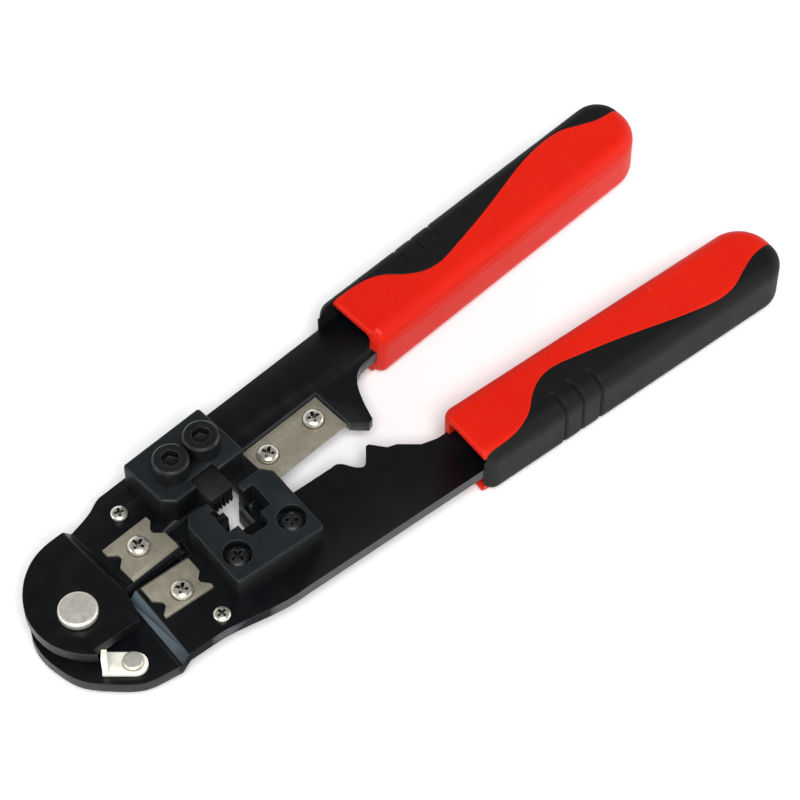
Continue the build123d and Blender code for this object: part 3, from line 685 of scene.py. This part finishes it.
def stations(front, close=(0.0, 0.0)):
    """Places along the grip where its section is drawn, closer together at the ends and in one stretch."""
    places = [front + WIDE_STEP - d for d in quarter(WIDE_STEP, 6)]
    places += [front + WIDE_STEP + i * MIDDLE_STEP for i in range(1, 8)]
    x = places[-1] + 2 * MIDDLE_STEP
    while x < GRIP_END - INNER_END_R - CLOSE_STEP:
        places.append(x)
        x += CLOSE_STEP if close[0] < x < close[1] else WIDE_STEP
    places += [GRIP_END - d for d in quarter(INNER_END_R, 22)]
    places += [GRIP_END - d for d in quarter(ROUND, 8)[1:-1]]
    return sorted(set(round(p, 4) for p in places))


def place_grip(x, v, z, upper, front, shift):
    """A grip's point in the frame. The first stretch of the grip is drawn back by shift at its front."""
    x += shift * max(FRONT_STRETCH_END - x, 0.0) / (FRONT_STRETCH_END - front)
    if upper:
        point = Vector((x, MIRROR_Y + v, z)) * MM
        return Matrix.Rotation(OPEN_ANGLE, 3, "Z") @ point
    return Vector((x, MIRROR_Y - v, z)) * MM


def lofted(rings, upper, shift):
    bm = bmesh.new()
    front = rings[0][0]
    rows = [[bm.verts.new(place_grip(x, v, z, upper, front, shift)) for v, z in ring] for x, ring in rings]
    count = len(rows[0])
    for a, b in zip(rows, rows[1:]):
        for i in range(count):
            j = (i + 1) % count
            bm.faces.new((a[i], a[j], b[j], b[i]))
    bm.faces.new(list(reversed(rows[0])))
    bm.faces.new(rows[-1])
    bmesh.ops.remove_doubles(bm, verts=bm.verts, dist=RING_WELD * MM)
    bmesh.ops.recalc_face_normals(bm, faces=bm.faces)
    return bm


def shell_rings():
    rings = []
    places = stations(GRIP_FRONT)
    for x, following in zip(places, places[1:] + places[-1:]):
        loop, low, high = shell_section(x)
        rings.append((x, loop + mouth_path(x, x < MOUTH_END, low, high)))
        if x < MOUTH_END <= following:
            loop, low, high = shell_section(MOUTH_END)
            rings += [(MOUTH_END, loop + mouth_path(MOUTH_END, is_open, low, high))
                      for is_open in (True, False)]
    return rings


def sleeve_rings():
    rings = []
    for x in stations(NOSE_FRONT, CLOSE_SPAN):
        loop, wall = sleeve_section(x)
        surface = [carved(x, v, z) for v, z in loop[3:-3]]
        rings.append((x, loop[:3] + surface + loop[-3:] + wall))
    return rings


def build_grips():
    shell = shell_rings()
    sleeve = sleeve_rings()
    for side, upper, red_shift, black_shift in FRONT_SHIFTS:
        new_piece(f"grip_red_{side}", lofted(shell, upper, red_shift), side, "grip_red",
                  [f"grip_shell_{side}"], 32)
        new_piece(f"grip_black_{side}", lofted(sleeve, upper, black_shift), side, "grip_black",
                  [f"grip_sleeve_{side}"], 32)


# ---------------------------------------------------------------- screws
SCREWS = (      # node, body, material, head's height, shank as a share of the head, turn of each recess
    ("strip_screw_fixed", "fixed", "screw_steel", 1.7, 0.62, (40,)),
    ("strip_screw_moving", "moving", "screw_steel", 1.7, 0.62, (20,)),
    ("stop_screw_fixed", "fixed", "screw_steel", 1.3, 0.625, (10,)),
    ("stop_screw_moving", "moving", "screw_steel", 1.3, 0.625, (70,)),
    ("cutter_screws", "moving", "screw_steel", 1.7, 0.62, (35, 75)),
    ("die_screws", "fixed", "black_oxide_steel", 1.8, 0.62, (10, 55)))
RINGS = 34
AROUND = 112
EVEN_RINGS = 0.6                # share of the rings that are evenly spaced; the rest close up at the rim
DOME = 0.62                     # share of the head's height that is domed
DOME_POWER = 2.6
RECESS_LONG = 0.60              # half length and half width of the cross, as shares of the head's radius
RECESS_WIDE = 0.155
RECESS_TAPER = (1.25, 0.5)      # width at the middle, and how much of it is lost at the ends
RECESS_WALL = 0.06              # width of the recess's sloping wall
RECESS_DEPTH = 0.62             # share of the head's height, at the cross's ends
RECESS_CONE = 0.12              # and how much deeper it is at the middle
RECESS_LEFT = 0.15              # metal left under the recess, mm
HEAD_EDGE = 0.1                 # bevel under the head, mm
SHANK_CHAMFER = 0.15


def islands(node):
    """Lowest and highest corner of each separate solid of a node, in mm, from the pivot outwards."""
    bm = bmesh.new()
    bm.from_mesh(NODES[node].data)
    bmesh.ops.remove_doubles(bm, verts=bm.verts, dist=WELD * MM)
    left, boxes = set(bm.verts), []
    while left:
        front = [left.pop()]
        found = list(front)
        while front:
            for edge in front.pop().link_edges:
                for vert in edge.verts:
                    if vert in left:
                        left.discard(vert)
                        front.append(vert)
                        found.append(vert)
        low = [min(v.co[i] for v in found) / MM for i in range(3)]
        high = [max(v.co[i] for v in found) / MM for i in range(3)]
        boxes.append((low, high))
    bm.free()
    return sorted(boxes)


def recess(x, y, radius):
    """0 outside the cross recess, 1 on its floor."""
    x, y = abs(x) / radius, abs(y) / radius
    middle, loss = RECESS_TAPER
    inside = max(min(RECESS_LONG - x, RECESS_WIDE * (middle - loss * x / RECESS_LONG) - y),
                 min(RECESS_LONG - y, RECESS_WIDE * (middle - loss * y / RECESS_LONG) - x))
    return min(1.0, max(0.0, inside / RECESS_WALL))


def ring_share(i):
    """Radius of a head's ring as a share of the head's."""
    part = i / RINGS
    return sin(part * pi / 2) if part > EVEN_RINGS else part * sin(EVEN_RINGS * pi / 2) / EVEN_RINGS


def head_drop(x, y, share, radius, head_h, turn):
    """How far the head's surface lies below its top."""
    u, v = x * cos(turn) + y * sin(turn), y * cos(turn) - x * sin(turn)
    domed = head_h * DOME * (1 - sqrt(max(0.0, 1 - share**DOME_POWER)))
    sunk = recess(u, v, radius) * head_h * (RECESS_DEPTH + RECESS_CONE * (1 - share / RECESS_LONG))
    return min(domed + sunk, head_h - RECESS_LEFT)


def screw_rings(low, high, head_h, shank_share, turn):
    """Rings of points in mm, from the middle of the head over its rim and down the shank."""
    cx, cy = (low[0] + high[0]) / 2, (low[1] + high[1]) / 2
    radius = (high[0] - low[0]) / 2
    top, under = high[2], high[2] - head_h
    shank = shank_share * radius
    angles = [2 * pi * k / AROUND for k in range(AROUND)]
    rings = []
    for i in range(1, RINGS + 1):
        share = ring_share(i)
        flat = [(radius * share * cos(a), radius * share * sin(a)) for a in angles]
        rings.append([(cx + x, cy + y, top - head_drop(x, y, share, radius, head_h, turn))
                      for x, y in flat])
    for r, z in ((radius, under + HEAD_EDGE), (radius - HEAD_EDGE, under), (shank, under),
                 (shank, low[2] + SHANK_CHAMFER), (shank - SHANK_CHAMFER, low[2])):
        rings.append([(cx + r * cos(a), cy + r * sin(a), z) for a in angles])
    return rings


def cross_screws(node, body, slot, head_h, shank_share, turns):
    """Rounded heads with a cross recess, on plain shanks."""
    bm = bmesh.new()
    for (low, high), turn in zip(islands(node), turns):
        rings = screw_rings(low, high, head_h, shank_share, radians(turn))
        rows = [[bm.verts.new(Vector(point) * MM) for point in ring] for ring in rings]
        for a, b in zip(rows, rows[1:]):
            for k in range(AROUND):
                j = (k + 1) % AROUND
                bm.faces.new((a[k], b[k], b[j], a[j]))
        bm.faces.new(rows[0])
        bm.faces.new(list(reversed(rows[-1])))
    bmesh.ops.recalc_face_normals(bm, faces=bm.faces)
    new_piece(f"{node}_body", bm, body, slot, [node])


# ---------------------------------------------------------------- metal pieces
RIM_R = 8.0                     # edges outside this radius on the discs get the wide rounding
DISC_EDGE = (1.25, 6)           # width in mm and segments
ARM_EDGE = (0.28, 2)
EDGE_STEPS = 2
TOOL_PIECES = (     # piece, node, body, material, width of its rounded edges in mm
    ("die_block_body", "die_block", "fixed", "die_steel", 0.22),
    ("lower_die_body", "lower_die", "fixed", "die_steel", 0.22),
    ("punch_block_body", "punch_block", "moving", "die_steel", 0.22),
    ("crimp_punch_body", "crimp_punch", "moving", "tool_steel", 0.08),
    ("strip_blade_fixed_body", "strip_blade_fixed", "fixed", "blade_steel", 0.08),
    ("stop_plate_fixed_body", "stop_plate_fixed", "fixed", "arm_paint", 0.12),
    ("strip_blade_moving_body", "strip_blade_moving", "moving", "blade_steel", 0.08),
    ("stop_plate_moving_body", "stop_plate_moving", "moving", "arm_paint", 0.12),
    ("cutter_blade_body", "cutter_blade", "moving", "blade_steel", 0.08))
FITTINGS = (        # the same
    ("cap_screws_body", "punch_cap_screws", "moving", "black_oxide_steel", 0.14),
    ("pivot_rivet_body", "pivot_rivet", "fixed", "rivet_nickel", 0.12),
    ("latch_rivet_body", "latch_rivet", "fixed", "rivet_nickel", 0.08),
    ("latch_clip_body", "latch_clip", "latch", "latch_zinc", 0.16),
    ("pivot_spacer_body", "pivot_spacer", "fixed", "blade_steel", 0.15),
    ("torsion_spring_body", "torsion_spring", "fixed", "spring_steel", 0.08))


def on_disc(middle):
    return middle.x < DISC_X and middle.x**2 + middle.y**2 > RIM_R**2


def rounded_pieces(rows):
    for name, node, body, slot, width in rows:
        refined(name, node, body, slot, [(width, EDGE_STEPS, everywhere)])


def build_metal():
    for side in ("fixed", "moving"):
        refined(f"arm_{side}_plate", f"arm_{side}", side, "arm_paint",
                [(*DISC_EDGE, on_disc), (*ARM_EDGE, everywhere)])
    rounded_pieces(TOOL_PIECES)
    for screw in SCREWS:
        cross_screws(*screw)
    rounded_pieces(FITTINGS)


add_camera()
add_lights()
add_sky()
add_floor()
build_metal()
build_grips()
